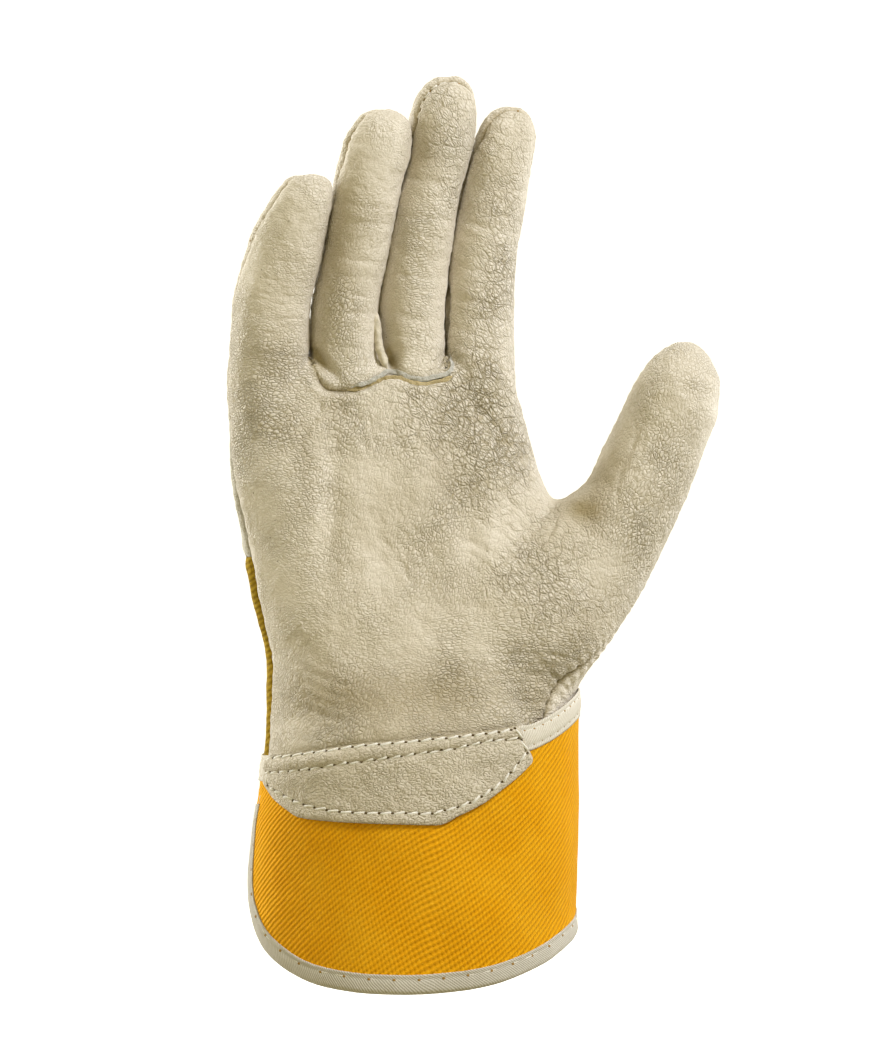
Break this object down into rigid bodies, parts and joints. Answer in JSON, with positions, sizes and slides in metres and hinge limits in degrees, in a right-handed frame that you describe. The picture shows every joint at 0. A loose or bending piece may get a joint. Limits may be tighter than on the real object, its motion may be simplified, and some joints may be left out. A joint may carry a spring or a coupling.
{
  "type": "work glove",
  "caption": "Leather work glove for the right hand with a cloth back, a taped wrist and a slit, bound cloth cuff.",
  "frame": {"origin": "centre of the wrist, where hand and cuff meet", "axes": "+Z towards the fingertips, -Y out of the palm, +X towards the thumb"},
  "size_m": [0.1444, 0.0702, 0.2676],
  "materials": {
    "palm_hide": "matte grain",
    "strap_hide": "matte grain",
    "welt_hide": "matte, raw edge",
    "cuff_cloth": "matte twill",
    "back_cloth": "matte canvas",
    "tape_cloth": "matte twill tape"
  },
  "bodies": {
    "root": {"palm": "palm_hide", "middle_fronts": "palm_hide", "welt": "welt_hide", "little_back": "palm_hide", "ring_back": "palm_hide", "middle_back": "palm_hide", "index_back": "palm_hide", "thumb_back": "palm_hide", "knuckle_strap": "strap_hide", "cloth_back": "back_cloth", "wrist_tape": "tape_cloth", "cuff": "cuff_cloth", "cuff_binding": "tape_cloth", "pulse_patch": "palm_hide"}
  },
  "joints": []
}
